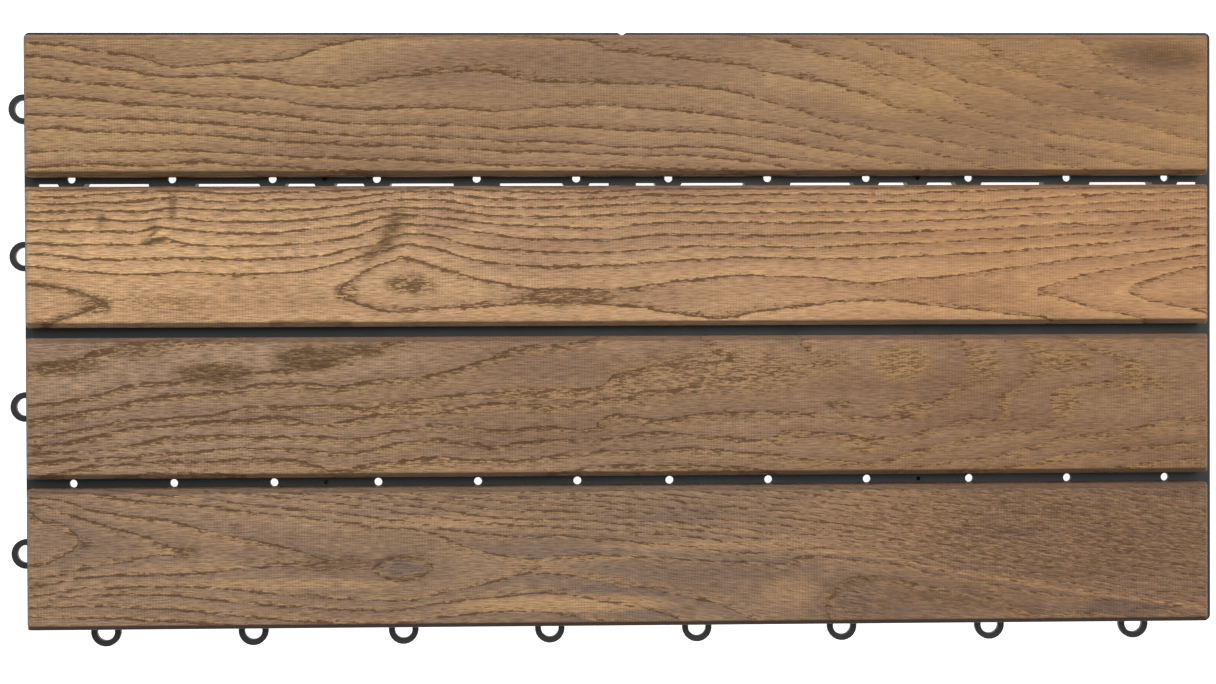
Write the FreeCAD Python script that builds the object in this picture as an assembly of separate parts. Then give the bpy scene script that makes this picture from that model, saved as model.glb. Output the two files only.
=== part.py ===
import FreeCAD, Part

import math
import os

# Interlocking deck tile: four wooden slats screwed from below to two square plastic grid bases.
# Sizes are in millimetres. X runs along the slats, Y across them and Z up. The origin is the
# middle of the tile on the ground. Loops stick out of the -X and -Y sides of each base, and
# pegs under the rim of the +X and +Y sides drop into the loops of the next base.

# Slats
slat_length = 600.0
slat_width = 71.1
slat_thickness = 15.0
slat_gap = 5.2
slat_edge_chamfer = 2.2
slat_end_chamfer = 1.2
slat_underside_chamfer = 1.0
slat_corner_radius = 0.8

# The slats lie a little off the middle of the bases, as they were screwed on
slat_shift_x = -1.1
slat_shift_y = -0.6

# Outline and section of a base
end_reach = 4.5
side_reach = 2.25
base_height = 11.0
plate_thickness = 2.5
rib_clearance = 4.0
rib_thickness = 1.8
rim_width = 7.0
rim_corner_radius = 3.0
strip_width = 4.8
centre_strip_width = 7.0

# Feet, all open below, with a drain hole through the plate above each. They repeat often, so
# they are many-sided and not round, as the fasteners are.
foot_middle_spacing = 53.1
foot_side_inset = 23.7
foot_row_offset = 1.25
foot_radius = 7.25
wide_foot_radius = 11.9
foot_wall = 1.7
drain_radius = 2.0
foot_sides = 12
bore_sides = 8

# Solid studs, tabs under the ribs and blocks that carry the base between the open feet
stud_radius = 5.9
dimple_radius = 1.1
dimple_depth = 5.0
gate_radius = 1.8
gate_rise = 0.4
tab_length = 22.0
block_length = 12.0
corner_block = 9.0

# Loops and the pegs that drop into them
clip_middle_spacing = 77.2
clip_side_inset = 38.15
loop_reach = 9.8
loop_radius = 7.6
loop_wall = 3.05
loop_height = 3.0
loop_sides = 24
peg_clearance = 0.3
peg_setback = 0.7
peg_lift = 0.6

# Screws and the bosses that they pull up against the slats
screw_radius = 1.75
screw_length = 15.0
screw_head_radius = 3.5
screw_head_height = 2.2
screw_clearance = 0.2
screw_head_clearance = 0.6
boss_radius = 4.8
boss_height = 6.0
fastener_sides = 8

# Places that follow from the sizes above
slat_names = ("slat_back", "slat_mid_back", "slat_mid_front", "slat_front")
slat_pitch = slat_width + slat_gap
slat_rows = [slat_pitch * (1.5 - index) for index in range(len(slat_names))]
deck_width = slat_pitch * len(slat_names) - slat_gap
base_x = slat_length / 2 + end_reach
base_y = deck_width + 2 * side_reach
plate_bottom = base_height - plate_thickness
deck_top = base_height + slat_thickness
near_column = foot_middle_spacing / 2
screw_column = base_x / 2 - foot_side_inset
wide_column = (near_column + screw_column) / 2
foot_row = slat_pitch + foot_row_offset
boss_bottom = base_height - boss_height


def both(values):
    """Each value with its mirror image about the middle."""
    return [sign * value for value in values for sign in (-1, 1)]


def slab(x, y, length, width, bottom, top):
    """A box centred on x and y."""
    corner = FreeCAD.Vector(x - length / 2, y - width / 2, bottom)
    return Part.makeBox(length, width, top - bottom, corner)


def sided_post(x, y, radius, sides, bottom, top):
    """An upright bar whose flats are the radius away from its middle."""
    turn = 2 * math.pi / sides
    corner = radius / math.cos(turn / 2)
    points = []
    for index in range(sides):
        angle = (index + 0.5) * turn
        points.append((x + corner * math.cos(angle), y + corner * math.sin(angle), bottom))
    return prism(points, (0, 0, top - bottom))


def rounded_slab(length, width, radius, bottom, top):
    """A box centred on the origin with its upright edges rounded."""
    block = slab(0, 0, length, width, bottom, top)
    upright = [edge for edge in block.Edges if abs(edge.tangentAt(0).z) > 0.5]
    return block.makeFillet(radius, upright)


def prism(points, run):
    """A closed outline of points, swept along the vector run."""
    outline = Part.makePolygon([FreeCAD.Vector(*point) for point in points + points[:1]])
    return Part.Face(outline).extrude(FreeCAD.Vector(*run))


def slat_section():
    """The section across a slat, swept along its length."""
    side = slat_width / 2
    end = -slat_length / 2
    right = [
        (end, side - slat_underside_chamfer, base_height),
        (end, side, base_height + slat_underside_chamfer),
        (end, side, deck_top - slat_edge_chamfer),
        (end, side - slat_edge_chamfer, deck_top),
    ]
    left = [(x, -y, z) for x, y, z in reversed(right)]
    return prism(right + left, (slat_length, 0, 0))


def slat_side_view():
    """The outline of a slat seen from its long side, swept across its width."""
    end = slat_length / 2
    side = -slat_width / 2
    right = [
        (end, side, base_height),
        (end, side, deck_top - slat_end_chamfer),
        (end - slat_end_chamfer, side, deck_top),
    ]
    left = [(-x, y, z) for x, y, z in reversed(right)]
    return prism(right + left, (0, slat_width, 0))


def make_slat(row, screws):
    plan = rounded_slab(slat_length, slat_width, slat_corner_radius, base_height, deck_top)
    slat = slat_section().common(slat_side_view()).common(plan)
    slat.translate(FreeCAD.Vector(slat_shift_x, row + slat_shift_y, 0))
    return slat.cut(screws)


def rim():
    """The flat rim with a skirt that hangs from its outer edge."""
    outside = rounded_slab(base_x, base_y, rim_corner_radius, rib_clearance, base_height)
    skirt_room = slab(
        0, 0, base_x - 2 * rib_thickness, base_y - 2 * rib_thickness, rib_clearance, plate_bottom
    )
    opening = slab(
        0, 0, base_x - 2 * rim_width, base_y - 2 * rim_width, plate_bottom, base_height
    )
    return outside.cut(skirt_room).cut(opening)


def long_strips():
    """Flat strips along the slats, each with a rib under its middle."""
    length = base_x - rim_width
    pieces = []
    for row in (0, -foot_row, foot_row):
        width = strip_width if row else centre_strip_width
        pieces.append(slab(0, row, length, width, plate_bottom, base_height))
        pieces.append(slab(0, row, length + rim_width - rib_thickness, rib_thickness,
                           rib_clearance, plate_bottom))
    return pieces


def cross_strips():
    """The same strips across the slats, on the middle and the wide feet."""
    length = base_y - rim_width
    pieces = []
    for column in (0, -wide_column, wide_column):
        width = strip_width if column else centre_strip_width
        pieces.append(slab(column, 0, width, length, plate_bottom, base_height))
        pieces.append(slab(column, 0, rib_thickness, length + rim_width - rib_thickness,
                           rib_clearance, plate_bottom))
    return pieces


def cross_ribs():
    """Plain ribs across the slats, on the other columns of feet."""
    length = base_y - rim_width
    columns = both((near_column, screw_column))
    return [
        slab(column, 0, rib_thickness, length, rib_clearance, base_height) for column in columns
    ]


def foot_places():
    """Place and radius of every round foot."""
    places = []
    for column in both((near_column, wide_column, screw_column)):
        radius = wide_foot_radius if abs(column) == wide_column else foot_radius
        places += [(column, row, radius) for row in both([foot_row])]
    return places


def feet():
    return [
        sided_post(x, y, radius, foot_sides, 0, base_height) for x, y, radius in foot_places()
    ]


def foot_openings():
    """The room inside each foot, and the drain hole above it."""
    cuts = []
    for x, y, radius in foot_places():
        cuts.append(sided_post(x, y, radius - foot_wall, bore_sides, 0, plate_bottom))
        cuts.append(sided_post(x, y, drain_radius, foot_sides, 0, base_height))
    return cuts


def studs():
    """Solid studs where the middle strip across the slats meets the foot rows."""
    return [
        sided_post(0, row, stud_radius, foot_sides, 0, base_height) for row in both([foot_row])
    ]


def stud_dimples():
    bottom = base_height - dimple_depth
    return [
        sided_post(0, row, dimple_radius, fastener_sides, bottom, base_height)
        for row in both([foot_row])
    ]


def gate_mark():
    """The low round mark that moulding leaves in the middle of the base."""
    place = gate_radius - slat_gap / 2
    return sided_post(0, place, gate_radius, foot_sides, plate_bottom, base_height + gate_rise)


def rib_tabs():
    """Tabs that take the ribs across the slats down to the ground, below each slat."""
    columns = [0] + both((near_column, wide_column))
    return [
        slab(column, row, rib_thickness, tab_length, 0, rib_clearance)
        for column in columns
        for row in slat_rows
    ]


def rim_blocks():
    """Blocks under the corners of the rim and under the middle of each side with loops."""
    half_x = base_x / 2
    half_y = base_y / 2
    blocks = [
        slab(rim_width / 2 - half_x, 0, rim_width, block_length, 0, plate_bottom),
        slab(0, rim_width / 2 - half_y, block_length, rim_width, 0, plate_bottom),
    ]
    plan = rounded_slab(base_x, base_y, rim_corner_radius, 0, plate_bottom)
    for x in both([half_x - corner_block / 2]):
        for y in both([half_y - corner_block / 2]):
            block = slab(x, y, corner_block, corner_block, 0, plate_bottom)
            blocks.append(block.common(plan))
    return blocks


def loop():
    """A loop that reaches out along -X from a rim whose outer face is at x = 0."""
    middle = loop_radius - loop_reach
    bore_radius = loop_radius - loop_wall
    centre = (rim_width + middle) / 2
    run = rim_width - middle
    ring = slab(centre, 0, run, 2 * loop_radius, 0, loop_height)
    ring = ring.fuse(sided_post(middle, 0, loop_radius, loop_sides, 0, loop_height))
    webs = slab(rim_width / 2, 0, rim_width, 2 * loop_radius, 0, plate_bottom)
    opening = slab(centre, 0, run, 2 * bore_radius, 0, plate_bottom)
    opening = opening.fuse(sided_post(middle, 0, bore_radius, loop_sides, 0, plate_bottom))
    return ring.fuse(webs).cut(opening)


def peg():
    """A D-shaped peg that fits such a loop, under the rim that the loop reaches."""
    middle = loop_radius - loop_reach
    radius = loop_radius - loop_wall - peg_clearance
    bar = slab(middle / 2, 0, -middle, 2 * radius, peg_lift, plate_bottom)
    bar = bar.fuse(sided_post(middle, 0, radius, foot_sides, peg_lift, plate_bottom))
    front = slab(radius - peg_setback, 0, 2 * radius, 2 * radius, peg_lift, plate_bottom)
    return bar.cut(front)


def clip_offsets(side):
    """Where the clips stand along a side of that length, from its middle."""
    return both((clip_middle_spacing / 2, side / 2 - clip_side_inset))


def along_sides(shape, x, y):
    """Copies of a clip along the side at x, and turned along the side at y."""
    copies = []
    for offset in clip_offsets(base_y):
        on_x = shape.copy()
        on_x.translate(FreeCAD.Vector(x, offset, 0))
        copies.append(on_x)
    for offset in clip_offsets(base_x):
        on_y = shape.copy()
        on_y.rotate(FreeCAD.Vector(0, 0, 0), FreeCAD.Vector(0, 0, 1), 90)
        on_y.translate(FreeCAD.Vector(offset, y, 0))
        copies.append(on_y)
    return copies


def screw_places():
    """Where the screws stand in a base, as seen from its middle."""
    return [(column, row) for column in both([screw_column]) for row in slat_rows]


def screw_bosses():
    return [
        sided_post(x, y, boss_radius, fastener_sides, boss_bottom, base_height)
        for x, y in screw_places()
    ]


def screw_holes():
    """The hole through each boss, and room for the head in the rib below it."""
    hole = screw_radius + screw_clearance
    room = screw_head_radius + screw_head_clearance
    cuts = []
    for x, y in screw_places():
        cuts.append(sided_post(x, y, hole, fastener_sides, boss_bottom, base_height))
        cuts.append(sided_post(x, y, room, fastener_sides, 0, boss_bottom))
    return cuts


def make_base(middle):
    """One base, with its middle at the given x."""
    parts = long_strips() + cross_strips() + cross_ribs() + feet() + studs() + [gate_mark()]
    parts += rib_tabs() + rim_blocks() + screw_bosses()
    parts += along_sides(loop(), -base_x / 2, -base_y / 2)
    parts += along_sides(peg(), base_x / 2, base_y / 2)
    cuts = foot_openings() + stud_dimples() + screw_holes()
    base = rim().multiFuse(parts).cut(cuts).removeSplitter()
    base.translate(FreeCAD.Vector(middle, 0, 0))
    return base


def make_screw(x, y):
    """A screw that points up, its head against the underside of a boss."""
    head = sided_post(x, y, screw_head_radius, foot_sides, boss_bottom - screw_head_height,
                      boss_bottom)
    shank = sided_post(x, y, screw_radius, fastener_sides, boss_bottom,
                       boss_bottom + screw_length)
    return head.fuse(shank)


def main():
    base_middles = {"base_left": -base_x / 2, "base_right": base_x / 2}
    nodes = {name: make_base(middle) for name, middle in base_middles.items()}
    for name, row in zip(slat_names, slat_rows):
        screws = [
            make_screw(middle + column, row)
            for middle in base_middles.values()
            for column in both([screw_column])
        ]
        nodes[name] = make_slat(row, screws)
        nodes[name.replace("slat", "screws")] = Part.makeCompound(screws)
    os.makedirs("parts", exist_ok=True)
    for name, shape in nodes.items():
        shape.exportStep("parts/" + name + ".step")


main()
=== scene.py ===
import math

import bmesh
import bpy
import numpy as np
from mathutils import Euler, Matrix, Vector


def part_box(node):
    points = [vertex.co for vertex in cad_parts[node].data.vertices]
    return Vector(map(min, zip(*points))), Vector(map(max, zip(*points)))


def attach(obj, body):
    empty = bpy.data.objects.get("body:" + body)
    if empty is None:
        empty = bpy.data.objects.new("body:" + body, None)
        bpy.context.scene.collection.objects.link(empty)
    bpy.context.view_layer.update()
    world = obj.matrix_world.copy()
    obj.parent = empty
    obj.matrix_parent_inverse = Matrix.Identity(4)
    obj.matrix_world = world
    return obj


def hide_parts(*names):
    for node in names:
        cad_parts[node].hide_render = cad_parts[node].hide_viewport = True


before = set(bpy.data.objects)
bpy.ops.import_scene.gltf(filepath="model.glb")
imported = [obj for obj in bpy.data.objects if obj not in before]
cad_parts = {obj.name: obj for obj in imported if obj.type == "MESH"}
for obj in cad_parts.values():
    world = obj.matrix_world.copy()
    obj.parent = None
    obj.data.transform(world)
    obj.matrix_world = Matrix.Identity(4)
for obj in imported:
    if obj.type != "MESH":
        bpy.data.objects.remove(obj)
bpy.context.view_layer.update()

MM = 0.001
photo_width = 1216
photo_height = 684

# Camera, as the photograph's edges, holes and loops place it
camera_place = Vector((-43.5, 6.1, 1124.7)) * MM
camera_turn = Euler([math.radians(angle) for angle in (-0.637, -1.845, -0.227)])
sensor_width = 36.0
focal_pixels = 2169.1

# Share and colour laid on the bevels of the slats and on the lines along them: painted shade on the front
# bevels, a painted greyish sheen on the rear bevels, a greyish tone on the end bevels, and dark lines along
# the tops of the front and rear bevels
bevel_tones = {
    "fore": (0.7, (70, 50, 36)),
    "rear": (0.55, (118, 98, 88)),
    "tips": (0.5, (132, 116, 108)),
    "arris": (0.6, (84, 58, 38)),
}

# Slats, with the same chamfers as the solids
deck_top = 26.0
slat_bottom = 11.0
edge_chamfer = 2.2
end_chamfer = 1.2
underside_chamfer = 1.0
corner_radius = 0.8
soft_edge = 0.6
screw_near = 23.7
screw_head_radius = 3.5
grid_step_x = 2.0
grid_step_y = 1.2

# Grain lines are drawn over three enlarged views of each slat: left, middle and right. A line
# is a ring number and its points in each view. Rings between two whole numbers draw no line
# and only keep the field flat there.
view_scale = 1568 / 420
view_lefts = (0, 400, 796)

rings_back = [
    (-5, "", "", "1060,80 1120,130 1200,200 1320,250 1450,275 1525,292"),
    (-4, "", "", "600,62 700,100 760,150 880,205 960,240 1080,268 1180,300 1300,325 1400,350 "
     "1525,362"),
    (-3, "", "", "230,75 320,110 420,140 540,190 640,235 760,262 860,300 960,330 1100,360 1200,375 "
     "1300,400 1400,430 1525,462"),
    (-2, "", "1390,75 1450,90 1560,125", "0,100 100,140 200,152 320,200 440,240 540,272 620,320 "
     "720,365 820,390 950,425 1080,445 1230,470 1340,490 1525,515"),
    (-5.5, "", "", "1250,90 1400,110 1500,150"),
    (-1.6, "380,80 560,85 760,84", "", ""),
    (-1, "100,88 240,100 370,125 470,133 560,155 650,178 740,172 850,160 960,160 1060,150 1150,125 "
     "1250,92 1330,76", "600,72 700,82 780,112 900,130 1000,140 1120,155 1220,165 1320,182 1380,200 "
     "1500,228", "0,215 100,232 200,265 280,290 380,335 500,365 640,400 760,430 860,455 1000,490 "
     "1150,520 1290,550"),
    (0, "100,140 230,150 330,172 420,185 500,192 540,205 620,215 720,217 830,212 900,218 1000,222 "
     "1060,238 1150,245 1260,250 1350,240 1420,225", "0,212 100,205 200,195 300,187 370,195 420,215 "
     "500,228 600,235 700,235 800,238 900,240 1000,245 1100,250 1200,262 1300,285 1400,315",
     "0,335 60,360 150,385 250,405 400,430 500,445 600,468 700,485 850,515 950,540 1040,553"),
    (1, "100,215 200,225 280,237 400,243 500,262 620,275 760,285 900,290 1020,300 1120,315 1250,330 "
     "1380,335", "0,330 100,330 200,330 300,340 420,340 520,330 620,322 740,320 860,328 960,335 "
     "1060,345 1160,355 1260,370 1360,385", "0,405 80,420 200,450 280,465 380,480 450,490 560,512 "
     "700,550"),
    (2, "100,293 200,290 300,295 420,310 560,320 680,328 800,338 900,348 1000,355 1100,365 1200,382 "
     "1300,390", "0,390 120,395 220,395 320,400 400,410 480,402 560,400 680,400 800,410 900,415 "
     "1000,415 1100,420 1200,425 1300,435 1400,450", "0,462 100,480 200,500 300,520 400,540"),
    (3, "100,357 220,362 350,368 450,372 560,375 700,385 830,392 920,402 1020,415 1120,420 1220,430 "
     "1320,437", "0,435 120,438 220,445 320,450 400,460 480,455 600,458 700,465 800,475 900,480 "
     "1000,478 1150,478 1250,490 1350,505", "0,525 100,540 180,555"),
    (4, "100,412 200,410 300,415 400,422 500,423 600,427 700,430 800,435 900,445 1020,455 1130,462 "
     "1250,470", "0,472 100,480 200,485 300,487 400,495 500,492 600,495 700,500 800,505 1000,510 "
     "1150,515 1300,530 1400,545", ""),
    (5, "100,497 200,490 320,490 450,492 550,490 700,490 800,495 900,500 1000,508 1120,515 "
     "1250,520", "0,525 100,528 200,535 300,540 400,548 600,545 800,552 1000,560", ""),
    (6, "110,555 200,547 330,540 450,545 560,548 650,540 760,535 900,545 1020,550 1150,558", "", ""),
]

rings_mid_back = [
    (0, "100,80 250,80 400,72 480,68 600,58 700,62 900,68 1150,63 1350,55", "250,46 420,60 600,65 "
     "740,62 860,55 1000,46", ""),
    (1, "100,105 250,105 400,103 550,95 620,88 700,88 800,97 900,97 1020,92 1180,90 1350,80",
     "0,65 100,62 200,68 300,82 420,90 560,92 700,88 800,82 900,72 1100,78 1250,75 1400,73",
     "0,73 120,72 250,70 400,72 520,62 650,60 800,55"),
    (2, "100,135 230,135 350,130 470,137 560,132 640,125 720,125 860,130 1000,133 1150,128 1300,112 "
     "1450,95", "0,92 60,90 150,90 220,102 320,115 450,120 600,120 740,115 860,108 1000,105 "
     "1150,107 1300,103", "0,100 150,102 300,98 450,98 600,100 720,98 850,90 1000,78 1150,72 "
     "1300,68 1525,60"),
    (3, "100,170 180,175 260,170 350,165 450,170 520,172 600,160 650,158 740,168 850,175 1000,175 "
     "1100,170 1250,155 1400,130", "0,122 80,125 160,122 220,132 300,145 420,152 560,158 700,152 "
     "840,148 960,143 1100,140 1300,142", "0,140 150,140 300,135 450,133 560,135 700,130 800,125 "
     "900,120 1000,115 1150,105 1300,98 1525,90"),
    (4, "100,208 180,205 260,212 340,212 430,210 520,210 600,192 640,200 760,212 880,218 1000,217 "
     "1100,208 1200,200 1330,185 1420,160", "0,150 80,150 150,158 230,165 320,178 420,188 560,192 "
     "700,198 800,195 900,185 1000,178 1150,178 1300,178", "0,180 100,178 250,175 400,170 550,168 "
     "700,160 850,150 1000,145 1150,138 1300,132 1525,122"),
    (5, "100,253 200,258 330,262 450,262 550,255 610,235 660,250 760,262 880,265 1000,262 1130,255 "
     "1250,240 1350,222 1430,195", "0,185 100,188 200,195 280,208 360,222 450,238 560,240 700,240 "
     "820,238 920,228 1050,222 1200,222 1350,228", "0,225 120,220 250,215 400,212 550,205 700,205 "
     "800,195 900,188 1000,182 1150,185 1250,178 1350,170 1525,157"),
    (6, "100,295 180,298 260,308 400,315 520,312 650,310 800,312 920,318 1050,310 1200,300 1300,280 "
     "1400,262", "20,222 100,222 160,235 240,260 320,272 440,280 560,290 700,292 840,285 940,275 "
     "1050,268 1200,268 1350,268", "0,270 120,268 250,262 400,255 550,250 700,240 850,235 1000,222 "
     "1150,215 1250,208 1350,200 1525,190"),
    (7, "100,342 200,352 320,362 450,368 580,368 700,362 800,370 900,372 1000,368 1100,362 1200,345 "
     "1300,320 1400,290", "0,262 80,265 140,275 220,300 300,322 420,335 560,342 700,340 860,332 "
     "960,325 1080,318 1200,312 1350,308", "0,312 150,315 300,308 450,300 600,295 750,288 850,278 "
     "950,270 1050,262 1150,255 1300,240 1400,232 1525,222"),
    (7.5, "550,440 800,430 1050,425 1180,440", "", ""),
    (7.55, "600,540 900,545 1200,550", "200,545", ""),
    (8, "100,405 230,420 320,448 385,478 320,508 260,530 180,555", "", ""),
    (8.5, "120,480 200,478", "", ""),
    (8, "1480,318 1400,345 1320,390 1265,438 1340,480 1400,500 1480,510", "0,312 60,320 120,340 "
     "200,362 280,385 360,400 440,418 520,425 640,425 760,425 880,418 1000,402 1100,392 1200,378 "
     "1300,372 1400,378", "0,380 100,385 200,400 260,405 380,392 500,382 600,375 700,358 800,345 "
     "900,332 1000,318 1100,305 1200,295 1300,285 1400,275 1525,262"),
    (8, "", "0,508 100,500 200,495 300,492 400,482 480,478 560,475 640,475 720,482 800,488 870,490 "
     "950,500 1020,515 1100,528 1180,535 1260,525 1350,508", "0,495 80,485 180,470 300,470 400,470 "
     "480,482 600,495 700,505 800,520 900,530"),
    (8.45, "1400,440", "1000,460 1200,450 1400,440", "200,440 500,435 750,440"),
    (8.6, "1430,410 1480,388", "20,405 90,410", ""),
    (9, "", "", "1525,300 1400,315 1300,330 1200,350 1120,362 1040,385 960,410 900,438 980,458 "
     "1060,480 1150,505 1250,522"),
    (9.4, "", "", "1100,440"),
    (10, "", "", "1525,340 1400,365 1300,395 1240,430 1300,460 1400,485 1525,510"),
]

rings_mid_front = [
    (0, "105,148 200,135 300,122 350,100 400,78 470,65 560,48", "", ""),
    (1, "105,290 200,283 300,265 400,245 460,220 540,208 680,203 760,185 850,172 950,168 1040,160 "
     "1150,150 1280,110 1400,75 1450,55", "", ""),
    (2, "105,345 200,335 300,315 400,300 480,280 560,260 680,250 780,242 860,235 960,215 1050,208 "
     "1150,210 1250,220 1320,212 1400,195", "0,190 80,185 150,170 250,145 340,115 400,88 480,70 "
     "560,65 640,58 700,46", ""),
    (2.5, "", "330,205 500,150 700,130 800,100", ""),
    (3, "105,410 200,400 300,380 400,362 480,345 560,345 680,335 760,330 830,318 900,300 1000,292 "
     "1100,295 1200,290 1300,290 1360,300 1420,290", "0,278 100,265 200,252 320,243 450,240 560,238 "
     "680,230 760,215 800,180 880,160 960,145 1060,140 1150,130 1230,118", ""),
    (3.5, "", "1300,90 1400,110", ""),
    (4, "105,440 200,435 300,418 400,395 500,372 600,368 700,358 800,350 900,348 1000,335 1080,335 "
     "1150,358 1220,360 1300,345 1380,330", "0,322 60,325 150,320 230,300 310,285 400,280 500,285 "
     "600,288 700,270 780,262 860,262 900,240 1000,235 1100,215 1140,195 1250,188 1350,170 "
     "1450,150", "10,140 60,132 108,128 60,90 10,50"),
    (4.5, "", "", "300,240 520,150 400,60 200,70"),
    (5, "105,470 220,465 330,462 430,450 520,435 620,412 700,405 800,402 900,405 1000,412 1100,405 "
     "1200,410 1300,415 1380,412", "0,385 80,375 130,362 220,365 320,378 420,380 540,370 640,378 "
     "720,380 740,355 780,335 840,328 900,335 980,345 1060,330 1150,320 1250,315 1350,312",
     "0,315 80,318 200,325 280,335 360,330 430,318 470,290 540,262 600,220 640,200 700,185 740,160 "
     "690,150 660,140 640,110 625,70 600,40"),
    (6, "105,512 200,500 300,490 400,485 520,478 650,468 760,462 860,450 960,452 1080,450 1180,460 "
     "1300,470 1380,460", "0,430 100,420 200,425 280,432 330,445 400,438 480,425 600,420 720,420 "
     "800,415 860,400 930,390 1020,395 1150,405 1250,412 1350,420 1420,400",
     "0,385 80,388 160,392 220,405 280,420 330,412 400,405 480,385 560,365 640,342 720,338 780,330 "
     "760,290 755,265 790,245 840,215 860,180 900,150 960,130 1080,135 1000,125 940,110 900,85 "
     "840,55"),
    (6.5, "", "", "900,250 1120,170"),
    (7, "250,540 340,518 440,512 560,502 700,495 800,500 900,488 1000,490 1100,495 1180,515 "
     "1240,535 1330,520 1400,505", "0,500 80,490 160,485 240,492 330,492 420,500 500,490 560,482 "
     "640,470 740,462 860,458 980,452 1080,448 1200,458 1330,470 1450,482",
     "0,490 100,492 200,500 280,505 340,490 430,465 520,440 600,420 700,400 800,382 900,370 "
     "960,350 960,300 950,250 1000,225 1060,215 1150,205 1220,205 1310,210 1270,180 1230,140 "
     "1180,105 1100,80 1040,55"),
    (7.4, "", "", "1150,300 1400,250 1450,120"),
    (8, "", "660,530 740,518 850,512 1000,515 1150,518 1300,525", "430,520 560,500 680,490 790,465 "
     "880,440 980,412 1080,400 1200,390 1300,365 1400,340 1525,325"),
    (9, "", "", "700,522 800,517 880,510 960,480 1080,465 1200,455 1350,440 1525,425"),
    (10, "", "", "1180,525 1260,512 1400,495 1525,488"),
]

rings_front = [
    (10, "105,115 150,150 220,160 260,185 292,232 250,275 200,300 160,318 105,320", "", ""),
    (10.5, "120,235 190,225", "", ""),
    (9, "105,85 180,100 260,130 360,160 460,185 540,210 620,245 692,265 580,285 480,305 380,322 "
     "280,340 200,360", "", ""),
    (8, "110,65 200,75 300,100 400,125 520,140 640,155 740,180 860,210 1000,235 1100,258 1180,285 "
     "1232,302 1120,322 1000,325 880,335 760,350 600,355 460,360 320,368 200,385 105,405", "", ""),
    (7.85, "1310,320", "", ""),
    (7.5, "1310,240 1310,400", "", ""),
    (8, "1480,290 1430,308 1390,330 1430,360 1490,379", "0,285 60,282 100,290 122,318 100,350 "
     "60,372 0,378", ""),
    (8.4, "1480,330", "40,330", ""),
    (7, "300,45 440,68 560,82 700,92 820,105 940,120 1060,132 1200,148 1320,160 1420,180",
     "0,180 60,185 120,200 180,222 250,250 330,270 420,285 540,290 600,285 700,278 800,280 900,285 "
     "1000,290 1100,298 1200,302 1300,305 1450,308", "0,288 150,290 300,308 450,332 600,365 "
     "750,395 900,420 1050,435 1200,455 1350,480 1480,510"),
    (6, "520,45 640,58 760,70 880,88 1000,97 1120,108 1250,118 1360,135 1450,150", "0,150 60,160 "
     "150,180 250,195 360,205 480,212 600,210 720,215 800,220 900,232 1000,240 1100,250 1200,262 "
     "1350,270", "0,258 200,262 350,285 500,320 650,350 800,372 1000,400 1200,430 1350,455 "
     "1525,470"),
    (5, "860,45 980,58 1100,70 1220,82 1340,100 1460,112", "0,120 100,130 200,145 300,158 400,165 "
     "520,175 640,180 760,185 900,195 1050,205 1200,225 1350,245", "0,238 300,268 600,330 900,372 "
     "1200,415 1525,455"),
    (4, "1000,40 1150,52 1280,60 1400,78", "0,92 120,105 250,125 360,140 480,145 600,145 720,152 "
     "850,165 1000,180 1150,195 1300,215", ""),
    (3, "1250,40 1400,50", "0,62 120,78 250,92 350,105 480,110 600,115 720,125 850,140 1000,155 "
     "1150,170 1300,185", "0,200 300,235 600,275 900,320 1200,365 1525,405"),
    (2, "", "0,45 150,60 300,72 420,82 560,90 700,100 850,115 1000,130 1150,145 1300,158", ""),
    (1, "", "100,38 300,52 450,60 600,68 750,80 900,92 1050,108 1200,122", ""),
    (0, "", "350,35 500,42 650,50 800,60 950,72 1100,88 1250,100", "0,118 300,150 600,190 900,235 "
     "1200,285 1525,330"),
    (-1, "", "600,30 800,40 1000,55 1200,75 1400,90", ""),
    (-3, "", "", "0,50 300,80 600,115 900,160 1200,205 1525,250"),
    (-6, "", "", "500,25 800,60 1100,100 1525,165"),
    (-9, "", "", "900,12 1200,40 1525,85"),
    (7, "105,440 200,425 320,408 460,402 600,402 760,405 880,412 1000,425 1120,438 1250,445 "
     "1400,450", "0,450 60,445 150,425 250,405 340,385 420,360 480,348 560,352 640,355 720,372 "
     "780,385 830,405 880,402 950,408 1020,425 1100,440 1180,460 1240,485 1300,515", ""),
    (6, "105,455 220,440 330,432 460,430 600,432 700,438 820,450 940,462 1060,472 1200,480 "
     "1350,485 1450,485", "0,485 100,470 200,458 300,442 400,432 480,425 560,425 640,432 720,445 "
     "800,460 880,475 950,490 1020,510", ""),
    (5, "105,480 250,475 400,472 520,482 640,485 760,495 880,508 1000,518 1150,530 1300,540", "", ""),
    (4, "105,512 200,515 330,515 450,520 600,528 750,535 900,545", "", ""),
    (7.45, "", "750,325 1000,350 1300,400 1500,400", "40,330 300,340"),
    (8, "", "", "120,500 125,450 150,400 190,370 250,355 330,362 450,390 600,415 720,440 820,470 "
     "900,500"),
    (8.5, "", "", "230,470 380,450"),
]


def camera_axes():
    """The directions right, down and ahead in the picture."""
    turn = camera_turn.to_matrix()
    return turn.col[0], -turn.col[1], -turn.col[2]


def on_deck(across, down, height=deck_top):
    """The point, in millimetres, that a pixel of the photograph shows at that height."""
    right, below, ahead = camera_axes()
    ray = right * ((across - photo_width / 2) / focal_pixels)
    ray = ray + below * ((down - photo_height / 2) / focal_pixels) + ahead
    place = camera_place + ray * ((height * MM - camera_place.z) / ray.z)
    return place.x / MM, place.y / MM


def line_points(rings, view_top):
    """Every drawn point of a slat as x, y and ring number."""
    points = []
    for ring, *views in rings:
        for left, text in zip(view_lefts, views):
            for pair in text.split():
                across, down = (float(number) / view_scale for number in pair.split(","))
                points.append((*on_deck(left + across, view_top + down), ring))
    return np.array(points)


def bend(distance_squared):
    """Kernel of a thin plate."""
    return distance_squared * np.log(distance_squared + 1e-9)


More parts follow.
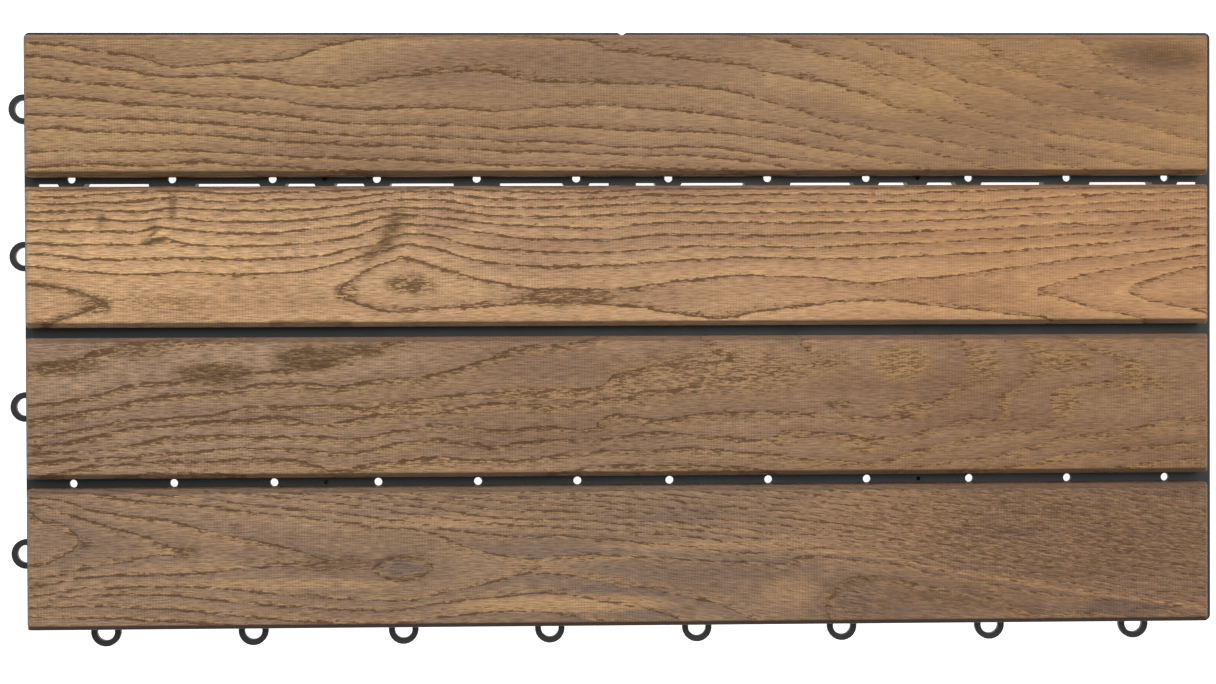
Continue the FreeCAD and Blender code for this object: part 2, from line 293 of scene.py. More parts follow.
def ring_field(rings, view_top, stretch=0.3, slack=0.4):
    """A smooth function of x and y that has each line's ring number along that line."""
    points = line_points(rings, view_top)
    known = points[:, :2] * (stretch, 1)
    count = len(known)
    gaps = ((known[:, None] - known[None]) ** 2).sum(2)
    plane = np.c_[np.ones(count), known]
    left = np.zeros((count + 3, count + 3))
    left[:count, :count] = bend(gaps) + slack * np.eye(count)
    left[:count, count:] = plane
    left[count:, :count] = plane.T
    weights = np.linalg.solve(left, np.r_[points[:, 2], np.zeros(3)])

    def field(x, y):
        asked = np.c_[x * stretch, y]
        values = weights[count] + asked @ weights[count + 1:]
        for start in range(0, len(asked), 4000):
            part = asked[start:start + 4000]
            gaps = ((part[:, None] - known[None]) ** 2).sum(2)
            values[start:start + 4000] += bend(gaps) @ weights[:count]
        return values

    return field


def spots(x, y, marks):
    """The strongest of soft spots, each a pixel, two radii in pixels and a strength."""
    total = np.zeros(len(x))
    pixel = (camera_place.z / MM - deck_top) / focal_pixels
    for across, down, wide, high, strength in marks:
        middle_x, middle_y = on_deck(across, down)
        away = ((x - middle_x) / (wide * pixel)) ** 2 + ((y - middle_y) / (high * pixel)) ** 2
        total = np.maximum(total, strength * np.exp(-away ** 3))
    return total


def streaks(x, y, marks):
    """The strongest of soft lines, each its pixels, half a width in pixels and a strength."""
    total = np.zeros(len(x))
    pixel = (camera_place.z / MM - deck_top) / focal_pixels
    for pairs, half, strength in marks:
        points = [on_deck(*(float(number) for number in pair.split(","))) for pair in pairs.split()]
        for start, end in zip(points[:-1], points[1:]):
            run = np.subtract(end, start)
            share = ((x - start[0]) * run[0] + (y - start[1]) * run[1]) / run.dot(run)
            share = np.clip(share, 0, 1)
            away = np.hypot(x - start[0] - share * run[0], y - start[1] - share * run[1])
            value = strength * np.exp(-(away / (half * pixel)) ** 2)
            total = np.maximum(total, value)
    return total


def spread(half, step):
    """Grid positions that are close together near both edges."""
    near = np.array([0, 0.25, 0.6, 0.95, 1.25, 1.6, 2.0, 2.4, 3.0])
    inner = half - near[-1]
    count = round(2 * inner / step)
    middle = np.linspace(-inner, inner, count + 1)[1:-1]
    return np.r_[-half + near, middle, (half - near)[::-1]]


def soft_min(a, b):
    share = np.clip(0.5 + 0.5 * (b - a) / soft_edge, 0, 1)
    return b + (a - b) * share - soft_edge * share * (1 - share)


def slat_surface(half_x, half_y):
    """Vertices and faces of a slat about its middle, in millimetres."""
    xs = spread(half_x, grid_step_x)
    ys = spread(half_y, grid_step_y)
    across, along = len(ys), len(xs)
    x, y = (grid.ravel() for grid in np.meshgrid(xs, ys, indexing="ij"))
    to_end = half_x - abs(x)
    to_side = half_y - abs(y)
    drop = soft_min(soft_min(to_end - end_chamfer, to_side - edge_chamfer), np.zeros(len(x)))
    out_x = np.maximum(corner_radius - to_end, 0)
    out_y = np.maximum(corner_radius - to_side, 0)
    length = np.maximum(np.hypot(out_x, out_y), 1e-9)
    both_out = (out_x > 0) & (out_y > 0)
    pull = np.where(both_out, np.maximum(out_x, out_y) / length, 1.0)
    px = np.sign(x) * (abs(x) - out_x + out_x * pull)
    py = np.sign(y) * (abs(y) - out_y + out_y * pull)
    top = np.c_[px, py, deck_top + drop]
    index = np.arange(along * across).reshape(along, across)
    edge = np.r_[index[:-1, 0], index[-1, :-1], index[:0:-1, -1], index[0, :0:-1]]
    face_x = to_end[edge] < 1e-6
    face_y = to_side[edge] < 1e-6
    normal = np.c_[np.sign(px[edge]) * np.where(both_out[edge], out_x[edge], face_x),
                   np.sign(py[edge]) * np.where(both_out[edge], out_y[edge], face_y)]
    normal /= np.linalg.norm(normal, axis=1)[:, None]
    rim = top[edge]
    top[edge, :2] -= normal * 0.12
    inset_x = 0.3
    bottom = np.c_[px * (half_x - inset_x) / half_x, py * (half_y - underside_chamfer) / half_y,
                   np.full(len(px), slat_bottom)]
    low = slat_bottom + underside_chamfer * abs(normal[:, 1]) + inset_x * abs(normal[:, 0])
    high = rim[:, 2] - 0.3
    rings = [np.c_[rim[:, :2], high + (low - high) * share] for share in np.linspace(0, 1, 7)]
    count = along * across
    loop = len(edge)
    points = np.concatenate([top, bottom] + rings)
    quads = np.c_[index[:-1, :-1].ravel(), index[1:, :-1].ravel(), index[1:, 1:].ravel(),
                  index[:-1, 1:].ravel()]
    faces = [quads, quads[:, ::-1] + count]
    belts = [edge] + [2 * count + loop * level + np.arange(loop) for level in range(7)]
    belts.append(edge + count)
    for upper, lower in zip(belts[:-1], belts[1:]):
        faces.append(np.c_[upper, lower, np.roll(lower, -1), np.roll(upper, -1)])
    return points, np.concatenate(faces)


def make_mesh(name, points, faces, smooth_angle=None):
    mesh = bpy.data.meshes.new(name)
    mesh.from_pydata([tuple(point) for point in points * MM], [], faces.tolist())
    mesh.validate()
    mesh.update()
    piece = bpy.data.objects.new(name, mesh)
    bpy.context.scene.collection.objects.link(piece)
    if smooth_angle:
        mesh.shade_smooth()
    return piece


def add_values(mesh, name, values):
    layer = mesh.attributes.new(name, "FLOAT", "POINT")
    layer.data.foreach_set("value", values.astype(np.float32))


def make_slat(node, rings, view_top, marks):
    low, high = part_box(node)
    half_x = (high.x - low.x) / 2 / MM
    half_y = (high.y - low.y) / 2 / MM
    points, faces = slat_surface(half_x, half_y)
    points[:, 0] += (high.x + low.x) / 2 / MM
    points[:, 1] += (high.y + low.y) / 2 / MM
    piece = make_mesh(node + "_wood", points, faces, smooth_angle=True)
    x, y, z = points.T
    depth = deck_top - z
    along = x + 0.3 * depth
    across = y + 0.8 * depth
    field = ring_field(rings, view_top)
    values = field(along, across)
    slope_x = (field(along + 1, across) - values)
    slope_y = (field(along, across + 1) - values)
    add_values(piece.data, "ring", values)
    add_values(piece.data, "pace", np.clip(np.hypot(slope_x, slope_y), 0.03, 1))
    for kind in ("strokes", "comb", "soft", "dark", "grey", "gold"):
        spotted = spots(x, across, marks.get(kind, []))
        streaked = streaks(x, across, marks.get(kind + " lines", []))
        add_values(piece.data, kind, np.maximum(spotted, streaked))
    # Masks of the bevels and of the lines along their tops: the front bevel mask carries painted shade, the
    # rear bevel mask a painted greyish sheen
    fore = y - low.y / MM
    rear = high.y / MM - y
    tips = half_x - abs(x - (high.x + low.x) / 2 / MM)
    for kind, reach, deep in (("fore", fore, edge_chamfer), ("rear", rear, edge_chamfer),
                              ("tips", tips, end_chamfer)):
        bevelled = np.clip((deep - reach) / 0.4 + 0.5, 0, 1)
        upper = np.clip((deep - depth) / 0.4 + 0.75, 0, 1)
        add_values(piece.data, kind, bevelled * upper)
    arris = np.exp(-((fore - edge_chamfer) / 0.4) ** 2)
    arris += 0.6 * np.exp(-((rear - edge_chamfer) / 0.4) ** 2)
    add_values(piece.data, "arris", arris)
    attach(piece, "root")
    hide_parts(node)
    return piece


def screw_head(bm, x, y):
    """A pan head that faces down, with a cross recess. Gives the edges of its upper rim."""
    profile = [(1.9, 2.8), (2.5, 2.86), (3.0, 3.05), (3.35, 3.4), (3.5, 3.9), (3.5, 5.0)]
    sides = 24
    rings = []
    for radius, height in profile:
        ring = []
        for index in range(sides):
            angle = math.tau * index / sides
            ring.append(bm.verts.new((x + radius * math.cos(angle), y + radius * math.sin(angle),
                                      height)))
        rings.append(ring)
    for lower, upper in zip(rings[:-1], rings[1:]):
        for index in range(sides):
            after = (index + 1) % sides
            bm.faces.new((lower[index], lower[after], upper[after], upper[index]))
    arm, half = 1.5, 0.42
    corners = [(arm, half), (half, half), (half, arm)]
    cross = []
    for turn in range(4):
        cosine, sine = math.cos(turn * math.pi / 2), math.sin(turn * math.pi / 2)
        cross += [(a * cosine - b * sine, a * sine + b * cosine) for a, b in corners]
    mouth = [bm.verts.new((x + a, y + b, 2.8)) for a, b in cross]
    floor = [bm.verts.new((x + a * 0.7, y + b * 0.7, 4.2)) for a, b in cross]
    edges = []
    for loop in (rings[0], mouth):
        for start, end in zip(loop, loop[1:] + loop[:1]):
            edges.append(bm.edges.get((start, end)) or bm.edges.new((start, end)))
    bmesh.ops.triangle_fill(bm, use_beauty=True, edges=edges)
    for index in range(len(cross)):
        after = (index + 1) % len(cross)
        bm.faces.new((mouth[index], mouth[after], floor[after], floor[index]))
    bm.faces.new(floor)
    return rings[-1]


def screw_shank(bm, x, y, rim):
    """A threaded shank above the head, with a pointed end."""
    sides = len(rim)
    pitch, root, ridge = 1.6, 1.3, 0.45
    bottom, top, point = 5.0, 20.0, 3.0
    levels = 76
    below = rim
    for level in range(levels + 1):
        height = bottom + (top - bottom) * level / levels
        taper = min(1.0, (top - height) / point + 0.06)
        threaded = min(1.0, max(0.0, (height - bottom - 1.5) / 0.8))
        ring = []
        for index in range(sides):
            angle = math.tau * index / sides
            turn = (height / pitch - index / sides) % 1
            bump = max(0.0, 1 - abs(turn - 0.5) / 0.3)
            radius = (root + ridge * bump * threaded) * taper
            ring.append(bm.verts.new((x + radius * math.cos(angle), y + radius * math.sin(angle),
                                      height)))
        for index in range(sides):
            after = (index + 1) % sides
            bm.faces.new((below[index], below[after], ring[after], ring[index]))
        below = ring
    bm.faces.new(below)


def make_screws(node):
    """The four screws of a slat, in place of the plain ones."""
    low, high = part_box(node)
    row = (low.y + high.y) / 2 / MM
    reach = high.x / MM - screw_head_radius
    bm = bmesh.new()
    for x in (-reach, -screw_near, screw_near, reach):
        screw_shank(bm, x, row, screw_head(bm, x, row))
    bmesh.ops.recalc_face_normals(bm, faces=bm.faces)
    bmesh.ops.scale(bm, vec=(MM, MM, MM), verts=bm.verts)
    mesh = bpy.data.meshes.new(node + "_steel")
    bm.to_mesh(mesh)
    bm.free()
    piece = bpy.data.objects.new(node + "_steel", mesh)
    bpy.context.scene.collection.objects.link(piece)
    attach(piece, "root")
    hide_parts(node)
    return piece


class Graph:
    """A material's nodes, added one at a time."""

    def __init__(self, name):
        self.material = bpy.data.materials.new(name)
        self.material.use_nodes = True
        self.tree = self.material.node_tree
        self.shader = self.tree.nodes["Principled BSDF"]

    def link(self, value, socket):
        if isinstance(value, bpy.types.NodeSocket):
            self.tree.links.new(value, socket)
        else:
            socket.default_value = value

    def add(self, kind, inputs=None, output=0, **settings):
        node = self.tree.nodes.new("ShaderNode" + kind)
        for name, value in settings.items():
            setattr(node, name, value)
        for key, value in (inputs or {}).items():
            self.link(value, node.inputs[key])
        return node.outputs[output]

    def math(self, operation, a, b=0.0, c=0.0, clamp=False):
        return self.add("Math", {0: a, 1: b, 2: c}, operation=operation, use_clamp=clamp)

    def attribute(self, name):
        return self.add("Attribute", attribute_name=name, output="Fac")

    def noise(self, place, scales, detail=2.0, roughness=0.5, offset=0.0):
        """Noise with a scale, in cells per metre, along each axis."""
        moved = self.add("VectorMath", {0: place, 1: (offset, offset, offset)}, operation="ADD")
        scaled = self.add("VectorMath", {0: moved, 1: scales}, operation="MULTIPLY")
        return self.add("TexNoise", {"Vector": scaled, "Scale": 1.0, "Detail": detail,
                                     "Roughness": roughness}, output="Fac")

    def step(self, value, low, high, to_low=0.0, to_high=1.0):
        """A smooth step from one value to the other."""
        return self.add("MapRange", {0: value, 1: low, 2: high, 3: to_low, 4: to_high},
                        interpolation_type="SMOOTHSTEP")

    def mix(self, share, a, b, blend="MIX"):
        return self.add("Mix", {0: share, 6: a, 7: b}, output=2, data_type="RGBA",
                        blend_type=blend)

    def set(self, **values):
        for name, value in values.items():
            self.link(value, self.shader.inputs[name.replace("_", " ")])


def colour(red, green, blue):
    """A linear colour from one on the usual 0 to 255 scale."""
    values = []
    for part in (red, green, blue):
        part /= 255
        values.append(part / 12.92 if part <= 0.04045 else ((part + 0.055) / 1.055) ** 2.4)
    return (*values, 1.0)


def grey_level(graph, value):
    return graph.add("CombineColor", {0: value, 1: value, 2: value})


def wood_material(name, look, seed):
    """Planed wood. Each growth ring starts at a line with a zone of pores, and is smooth after it."""
    base, pale, grey, gold, line = (colour(*tone) for tone in look["tones"])
    graph = Graph(name)
    place = graph.add("TexCoord", output="Object")
    along = graph.add("SeparateXYZ", {0: place})
    ring = graph.attribute("ring")
    pace = graph.attribute("pace")
    strokes = graph.math("MINIMUM", graph.attribute("strokes"), 1.0)
    comb = graph.math("MINIMUM", graph.attribute("comb"), 1.0)
    to_middle = graph.step(along, -0.25, 0.0)
    to_right = graph.step(along, 0.0, 0.22)
    lean = graph.math("MULTIPLY", graph.math("MAXIMUM", along, 0.0), look.get("lean", 0.0))
    leaning = graph.add("CombineXYZ", {"X": 0.0, "Y": lean, "Z": 0.0})
    grain = graph.add("VectorMath", {0: place, 1: leaning}, operation="ADD")

    def jitter(noise, reach):
        return graph.math("MULTIPLY", graph.math("SUBTRACT", noise, 0.5), reach)

    def ramp(kind):
        """A value that changes along the slat, given at its left, middle and right."""
        left, middle, right = look[kind]
        value = graph.math("MULTIPLY_ADD", to_middle, middle - left, left)
        return graph.math("MULTIPLY_ADD", to_right, right - middle, value)

    def layer(share, shade, size=1.0):
        """Lays a tone over what is there."""
        nonlocal tone
        tone = graph.mix(graph.math("MULTIPLY", share, size, clamp=True), tone, shade)

    def multiply(shade):
        nonlocal tone
        tone = graph.mix(1.0, tone, shade, "MULTIPLY")

    # Each line wanders, and its sides are ragged, by some tenths of a millimetre
    ragged = graph.noise(place, (240, 1400, 1400), detail=3, roughness=0.65, offset=seed)
    wander = graph.noise(place, (30, 130, 130), detail=2, offset=seed + 2)
    moved = graph.math("ADD", jitter(ragged, 1.9), jitter(wander, 1.8))
    moved = graph.math("ADD", moved, look["shift"])
    phase = graph.math("FRACT", graph.math("MULTIPLY_ADD", moved, pace, ring))
    if look["zone"] < 0:
        phase = graph.math("SUBTRACT", 1.0, phase)
    past = graph.math("DIVIDE", phase, pace)
    ahead = graph.math("DIVIDE", graph.math("SUBTRACT", 1.0, phase), pace)

    # Pores are short dark dashes. They fill the line, and thin out over the zone past it.
    soft = graph.math("ADD", ramp("softness"), graph.attribute("soft"), clamp=True)
    force = graph.math("MULTIPLY", ramp("force"), graph.step(pace, 0.22, 0.5, 1.0, 0.6))
    uneven = graph.noise(place, (55, 300, 300), detail=2, roughness=0.6, offset=seed + 3)
    force = graph.math("MULTIPLY", force, graph.step(uneven, 0.34, 0.58, 0.6, 1.0))
    reach = graph.math("DIVIDE", look["reach"], pace)
    reach = graph.math("MINIMUM", graph.math("MAXIMUM", reach, 1.6), 7.0)
    zone = graph.math("SUBTRACT", 1.0, graph.math("DIVIDE", past, reach), clamp=True)
    nearest = graph.math("MINIMUM", past, graph.math("MULTIPLY", ahead, 1.7))
    width = graph.math("MULTIPLY_ADD", soft, 0.5, look["width"])
    core = graph.math("EXPONENT", graph.math("DIVIDE", graph.math("MULTIPLY", nearest, -1.0), width))
    core = graph.math("MULTIPLY", core, graph.math("MULTIPLY_ADD", soft, -0.3, 1.0))
    sparse = graph.math("MULTIPLY", zone, graph.math("MULTIPLY_ADD", soft, 0.2, 0.42))
    crowd = graph.math("MULTIPLY", graph.math("MAXIMUM", core, sparse), force)
    crowd = graph.math("MAXIMUM", crowd, graph.math("MULTIPLY", strokes, 0.4))
    crowd = graph.math("MAXIMUM", crowd, graph.math("MULTIPLY", comb, 0.3))
    dashes = graph.noise(grain, (230, 1250, 1250), detail=2, roughness=0.55, offset=seed + 4)
    limit = graph.math("MULTIPLY_ADD", crowd, -0.44, 0.70)
    pores = graph.step(graph.math("SUBTRACT", dashes, limit), 0.0, 0.08)
    hatch = graph.noise(grain, (260, 1900, 1900), detail=1, offset=seed + 13)
    fringe = graph.math("MULTIPLY", graph.math("MULTIPLY", zone, 1.5, clamp=True), ramp("fringe"))
    for share, limit in ((strokes, 0.46), (comb, 0.49), (fringe, 0.5)):
        marked = graph.math("MULTIPLY", share, graph.step(hatch, limit, limit + 0.08))
        pores = graph.math("MAXIMUM", pores, marked)

    # Broad clouds and long streaks
    broad = graph.noise(place, (6, 40, 40), detail=3, offset=seed + 5)
    streaks = graph.noise(grain, (10, 240, 240), detail=3, roughness=0.6, offset=seed + 6)
    patch = graph.noise(place, (7, 55, 55), detail=2, offset=seed + 7)
    tone = graph.mix(graph.step(broad, 0.36, 0.62), base, pale)
    layer(graph.step(streaks, 0.35, 0.7), pale, 0.5)
    strands = graph.noise(grain, (26, 620, 620), detail=2, roughness=0.6, offset=seed + 12)
    layer(graph.step(strands, 0.5, 0.75), grey, 0.25)
    if look["glow"] < 0:
        layer(graph.step(phase, 0.45, 1.0), gold, 0.5)
        layer(graph.step(past, 0.6, 4.0, 1.0, 0.0), grey, 0.5)
    else:
        layer(zone, gold, 0.4)
        layer(graph.step(phase, 0.5, 1.0), grey, 0.45)
    layer(graph.step(patch, 0.5, 0.72), grey, 0.7)
    layer(graph.attribute("grey"), grey)
    layer(graph.attribute("gold"), gold)

    # Fibres, and gold flecks between the pores
    fibre = graph.noise(grain, (140, 1500, 1500), detail=3, roughness=0.7, offset=seed + 8)
    bright = graph.math("MULTIPLY", graph.math("SUBTRACT", fibre, 0.5), ramp("grit"))
    multiply(grey_level(graph, graph.math("ADD", bright, 1.0)))
    flecks = graph.noise(grain, (190, 1250, 1250), detail=2, offset=seed + 9)
    flecks = graph.step(flecks, 0.46, 0.6)
    near = graph.math("MULTIPLY", zone, graph.math("MULTIPLY_ADD", soft, 0.6, 0.25))
    near = graph.math("MAXIMUM", near, graph.math("MULTIPLY", strokes, 0.6))
    near = graph.math("MAXIMUM", near, comb)
    layer(comb, gold, 0.2)
    near = graph.math("MAXIMUM", near, fringe)
    layer(graph.math("MULTIPLY", near, flecks), gold, 0.9)

    # Marks of the planer's knives, square to the slat
    swing = graph.noise(place, (40, 90, 90), detail=1, offset=seed + 10)
    turn = graph.math("MULTIPLY_ADD", along, math.tau / (look["period"] * MM),
                      graph.math("MULTIPLY", swing, 4.0))
    where = graph.noise(place, (16, 45, 45), detail=2, offset=seed + 11)
    marks = graph.math("MULTIPLY", graph.math("SINE", turn),
                       graph.step(where, 0.4, 0.62, 0.12, 1.0))
    multiply(grey_level(graph, graph.math("MULTIPLY_ADD", marks, 0.08, 1.0)))

    # Tints along the slat: partly the wood's own tone, partly painted shade that darkens every slat towards
    # the right
    left, middle, right = ((*tint, 1.0) for tint in look["tints"])
    multiply(graph.mix(to_right, graph.mix(to_middle, left, middle), right))
    layer(pores, line, 0.82)
    layer(graph.attribute("dark"), graph.mix(bright, colour(84, 63, 36), gold), 0.5)
    # Bevel tones: painted shade on the front bevels, a painted greyish sheen on the rear bevels
    for kind, (share, shade) in (bevel_tones | look.get("bevels", {})).items():
        layer(graph.attribute(kind), colour(*shade), share)
    graph.set(Base_Color=tone, Specular_IOR_Level=0.1)
    graph.set(Roughness=graph.math("MULTIPLY_ADD", fibre, 0.2, 0.5))
    relief = graph.math("MULTIPLY_ADD", pores, -0.8, graph.math("MULTIPLY", fibre, 0.5))
    relief = graph.math("MULTIPLY_ADD", marks, 0.2, relief)
    graph.set(Normal=graph.add("Bump", {"Strength": 0.3, "Distance": 0.0002, "Height": relief}))
    return graph.material


def plastic_material():
    graph = Graph("base_plastic")
    place = graph.add("TexCoord", output="Object")
    fine = graph.noise(place, (2500, 2500, 2500), detail=2)
    cloud = graph.noise(place, (60, 60, 60), detail=3, offset=2.0)
    graph.set(Base_Color=graph.mix(cloud, colour(26, 28, 31), colour(35, 37, 40)),
              Specular_IOR_Level=0.4)
    graph.set(Roughness=graph.math("MULTIPLY_ADD", cloud, 0.15, 0.42))
    graph.set(Normal=graph.add("Bump", {"Strength": 0.25, "Distance": 0.0001, "Height": fine}))
    return graph.material


def steel_material():
    graph = Graph("screw_steel")
    place = graph.add("TexCoord", output="Object")
    scratches = graph.noise(place, (900, 900, 300), detail=3)
    graph.set(Base_Color=graph.mix(scratches, colour(168, 166, 160), colour(200, 199, 196)),
              Metallic=1.0)
    graph.set(Roughness=graph.math("MULTIPLY_ADD", scratches, 0.2, 0.28))
    graph.set(Normal=graph.add("Bump", {"Strength": 0.2, "Distance": 0.0001,
                                        "Height": scratches}))
    return graph.material


def floor_material():
    graph = Graph("floor_white")
    place = graph.add("TexCoord", output="Object")
    cloud = graph.noise(place, (3, 3, 3), detail=2)
    graph.set(Base_Color=graph.mix(cloud, colour(226, 226, 226), colour(234, 234, 234)),
              Roughness=0.9, Emission_Color=(1.0, 1.0, 1.0, 1.0), Emission_Strength=1.0)
    return graph.material


def make_floor():
    half = 4000.0
    points = np.array([(-half, -half, -0.05), (half, -half, -0.05), (half, half, -0.05),
                       (-half, half, -0.05)])
    floor = make_mesh("floor", points, np.array([[0, 1, 2, 3]]))
    floor.data.materials.append(floor_material())


def make_light(name, place, aim, size, power, tint=(1.0, 1.0, 1.0)):
    light = bpy.data.lights.new(name, "AREA")
    light.shape = "RECTANGLE"
    light.size, light.size_y = size
    light.energy = power
    light.color = tint
    lamp = bpy.data.objects.new(name, light)
    lamp.location = place
    lamp.rotation_euler = (Vector(aim) - Vector(place)).to_track_quat("-Z", "Y").to_euler()
    bpy.context.scene.collection.objects.link(lamp)


def make_world():
    world = bpy.data.worlds.new("studio")
    world.use_nodes = True
    background = world.node_tree.nodes["Background"]
    background.inputs["Color"].default_value = (1.0, 1.0, 1.0, 1.0)
    background.inputs["Strength"].default_value = 0.4
    bpy.context.scene.world = world


def make_camera():
    data = bpy.data.cameras.new("camera")
    data.sensor_width = sensor_width
    data.lens = focal_pixels / photo_width * sensor_width
    data.clip_start = 0.01
    camera = bpy.data.objects.new("camera", data)
    camera.location = camera_place
    camera.rotation_euler = camera_turn
    bpy.context.scene.collection.objects.link(camera)
    bpy.context.scene.camera = camera


def use_material(piece, material):
    piece.data.materials.clear()
    piece.data.materials.append(material)


bpy.context.scene.view_settings.view_transform = "Standard"
make_camera()
make_world()
make_floor()
make_light("key", (0.3, 0.75, 2.8), (0, 0, 0), (2.0, 1.4), 54.0)

back_marks = {
    "soft": [(1040, 95, 190, 70, 0.3), (700, 60, 120, 20, 0.3)],
    "comb": [(900, 70, 60, 14, 0.4), (1010, 62, 60, 14, 0.5), (1090, 60, 40, 16, 0.4)],
    "grey": [(560, 66, 200, 24, 0.6), (150, 58, 110, 8, 0.4), (1150, 60, 52, 15, 1.0)],
    "gold": [(900, 95, 60, 22, 0.3), (100, 140, 120, 20, 0.25)],
    "dark": [(1158, 50, 56, 13, 0.75), (1170, 58, 40, 10, 0.9), (630, 130, 5, 3, 0.5)],
}
mid_back_marks = {
    "soft": [(640, 290, 60, 14, 0.5), (1080, 285, 110, 26, 0.4)],
    "strokes": [(411, 284, 26, 12, 1.0), (562, 298, 62, 10, 0.9), (98, 304, 16, 12, 1.0),
                (165, 303, 46, 9, 0.55), (346, 292, 14, 11, 1.0)],
    "strokes lines": [("28,284 60,287 84,294 97,303 84,312 60,319 44,323", 3.6, 1.0),
                      ("100,300 140,300 205,302", 6.0, 0.5),
                      ("399,214 391,232 383,246 366,260", 9.0, 0.6),
                      ("372,268 353,279 344,291 358,302 380,309 440,309", 3.0, 1.0),
                      ("407,259 440,268 484,281 520,288", 2.4, 0.9)],
    "dark": [(172, 206, 5, 15, 1.2), (156, 228, 6, 3, 1.6), (152, 242, 12, 3, 1.4),
             (101, 218, 3, 5, 1.6), (98, 226, 5, 5, 0.7), (411, 284, 25, 11, 0.35),
             (562, 298, 60, 9, 0.35), (95, 303, 13, 11, 0.4), (418, 232, 3, 2, 0.9),
             (402, 236, 3, 2, 0.9)],
    "dark lines": [("399,216 392,231 384,244", 9.0, 1.3), ("384,244 370,257", 8.0, 0.9),
                   ("150,236 158,230", 1.2, 1.6), ("146,243 158,240", 1.2, 1.6),
                   ("28,284 60,287 84,294 97,303 84,312 60,319 44,323", 2.6, 0.7),
                   ("270,322.5 310,321 350,322.5", 1.2, 1.4)],
    "grey": [(440, 225, 26, 24, 0.5), (466, 222, 8, 6, 0.7), (660, 297, 60, 12, 0.4),
             (950, 292, 80, 14, 0.4), (195, 319, 14, 2, 0.8)],
    "gold": [(410, 232, 7, 4, 1.0), (150, 260, 110, 40, 0.35), (162, 232, 6, 5, 1.0)],
}
mid_front_marks = {
    "soft": [(1040, 390, 190, 70, 0.2), (720, 360, 100, 30, 0.3)],
    "strokes": [(63, 368, 40, 9, 1.0), (140, 350, 33, 8, 0.9), (215, 374, 42, 12, 1.0),
                (310, 359, 36, 14, 1.0), (360, 350, 36, 7, 0.9), (506, 356, 14, 6, 0.9),
                (840, 405, 16, 5, 0.9)],
    "comb": [(720, 372, 105, 26, 0.8), (628, 388, 22, 16, 0.9),
             (540, 394, 70, 8, 0.9), (400, 409, 66, 9, 0.9), (902, 363, 30, 19, 0.8),
             (908, 408, 26, 10, 0.8), (983, 364, 20, 19, 0.8), (1057, 359, 34, 13, 0.8),
             (1030, 375, 8, 9, 0.8), (1005, 405, 8, 12, 0.8), (1066, 403, 15, 18, 0.8),
             (1132, 369, 15, 15, 0.8),
             (862, 444, 20, 11, 0.8), (1110, 436, 50, 8, 0.5)],
    "grey": [(315, 359, 40, 10, 0.6), (215, 373, 40, 8, 0.6), (560, 365, 90, 18, 0.6),
             (664, 357, 26, 10, 0.9), (600, 440, 150, 14, 0.3)],
    "gold": [(730, 372, 110, 24, 0.25), (902, 363, 30, 18, 0.85), (330, 470, 200, 6, 0.4),
             (860, 444, 18, 10, 0.4), (983, 364, 18, 17, 0.35), (1057, 359, 32, 12, 0.35),
             (1066, 403, 14, 17, 0.35), (1132, 369, 14, 14, 0.35), (1005, 405, 7, 11, 0.35),
             (540, 394, 66, 6, 0.3), (400, 409, 62, 7, 0.3), (908, 408, 24, 8, 0.3)],
    "dark": [(868, 446, 5, 4, 0.3), (491, 449, 4, 8, 0.35), (499, 453, 1.5, 2.5, 0.9),
             (309, 359, 34, 13, 0.9), (215, 374, 40, 11, 0.9), (63, 368, 38, 8, 0.5),
             (140, 350, 32, 7, 0.5), (358, 350, 36, 7, 0.7)],
}
front_marks = {
    "soft": [(1050, 540, 190, 70, 0.2)],
    "strokes": [(335, 564, 45, 10, 0.7), (185, 553, 18, 9, 0.7), (84, 543, 9, 8, 0.8),
                (1060, 530, 240, 50, 0.62)],
    "comb": [(850, 600, 40, 22, 0.5), (960, 596, 80, 14, 0.4)],
    "grey": [(401, 567, 28, 11, 1.0), (857, 600, 25, 20, 1.0),
             (900, 600, 80, 14, 0.5), (700, 568, 130, 14, 0.6), (560, 545, 90, 12, 0.5),
             (80, 545, 60, 30, 0.4), (280, 558, 60, 10, 0.5), (1130, 606, 48, 10, 0.8)],
    "gold": [(880, 518, 90, 34, 0.4), (560, 604, 110, 9, 0.9), (450, 522, 90, 7, 0.5), (720, 545, 130, 4, 0.6),
             (290, 585, 120, 6, 0.4), (790, 592, 30, 14, 0.4)],
    "gold lines": [("806,551 866,553 953,571 1072,590 1206,608", 1.4, 1.3),
                   ("620,520 760,534 860,546", 1.2, 0.6), ("560,560 640,556 720,560", 1.2, 0.5)],
    "dark": [(36, 584, 3, 2, 1.6), (36, 584, 14, 8, 0.5), (340, 566, 36, 8, 0.4)],
    "dark lines": [("374,567 382,560 401,556 422,558 431,566 424,575 402,580 382,576", 1.6, 1.5),
                   ("830,618 829,602 835,588 850,580 876,578 900,582", 3.6, 0.9),
                   ("884,616 884,604 892,597 930,594 980,603 1040,612", 5.0, 0.5)],
}
slats = {
    "slat_back": (rings_back, 20, back_marks),
    "slat_mid_back": (rings_mid_back, 175, mid_back_marks),
    "slat_mid_front": (rings_mid_front, 328, mid_front_marks),
    "slat_front": (rings_front, 480, front_marks),
}
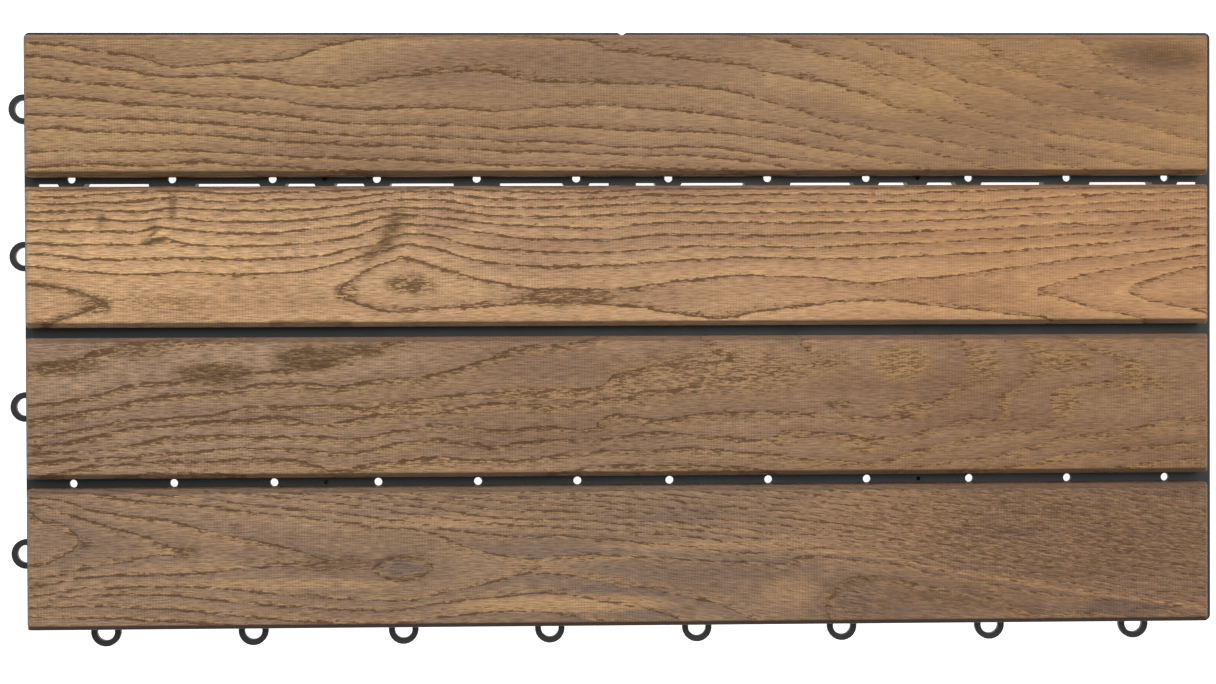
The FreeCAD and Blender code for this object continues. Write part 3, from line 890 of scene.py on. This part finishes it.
# How each slat looks. Tones are its base, pale, grey and gold wood and its pores. Zone and glow
# say on which side of a line the pores and the gold lie. Three values change along the slat.
looks = {
    "slat_back": {
        "tones": ((158, 124, 92), (170, 135, 102), (138, 109, 87), (188, 150, 108), (92, 62, 34)),
        "period": 1.50, "width": 0.9, "reach": 0.35, "shift": 0.3, "zone": -1, "glow": -1,
        "tints": ((0.98, 0.995, 0.97), (0.90, 0.905, 0.915), (0.98, 0.915, 0.83)),
        "force": (1.25, 1.15, 0.65), "softness": (0.3, 0.35, 0.9), "grit": (2.6, 1.9, 1.4),
        "fringe": (0.35, 0.35, 0.3),
    },
    "slat_mid_back": {
        "tones": ((182, 143, 106), (199, 160, 120), (166, 129, 100), (216, 175, 126),
                  (90, 59, 31)),
        "period": 1.57, "width": 0.8, "reach": 0.3, "shift": 0.1, "zone": 1, "glow": -1,
        "tints": ((1.03, 1.02, 1.03), (0.90, 0.875, 0.90), (0.90, 0.82, 0.76)),
        "force": (1.45, 1.3, 0.9), "softness": (0.0, 0.1, 0.3), "grit": (2.8, 2.2, 1.6),
        "fringe": (0.3, 0.35, 0.35),
    },
    "slat_mid_front": {
        "tones": ((148, 119, 93), (162, 132, 106), (135, 107, 88), (182, 147, 106),
                  (84, 58, 35)),
        "period": 1.60, "width": 1.0, "reach": 0.6, "shift": 0.2, "zone": 1, "glow": 1,
        "tints": ((1.02, 1.03, 1.04), (0.95, 0.925, 0.885), (0.875, 0.79, 0.70)),
        "force": (1.3, 1.1, 0.8), "softness": (0.45, 0.6, 1.0), "grit": (3.2, 2.4, 2.0),
        "fringe": (0.8, 0.65, 0.55),
    },
    "slat_front": {
        "tones": ((143, 115, 91), (156, 127, 101), (122, 101, 88), (186, 149, 109),
                  (86, 61, 41)),
        "period": 1.52, "width": 0.9, "reach": 0.45, "lean": 0.13,
        "shift": -0.1, "zone": 1, "glow": 1,
        "tints": ((1.08, 1.077, 1.07), (0.97, 0.968, 0.962), (0.82, 0.765, 0.75)),
        "force": (1.1, 0.95, 0.8), "softness": (0.4, 0.5, 0.8), "grit": (2.7, 2.4, 2.4),
        "fringe": (0.5, 0.45, 0.5),
        # The front slat's front bevel gets a still darker painted shade
        "bevels": {"fore": (0.95, (50, 36, 32))},
    },
}
for seed, (node, drawing) in enumerate(slats.items()):
    slat = make_slat(node, *drawing)
    use_material(slat, wood_material(node + "_grain", looks[node], 17.0 * seed + 3.0))

plastic = plastic_material()
steel = steel_material()
for name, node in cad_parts.items():
    if name.startswith("base"):
        use_material(node, plastic)
    if name.startswith("screws"):
        use_material(make_screws(name), steel)
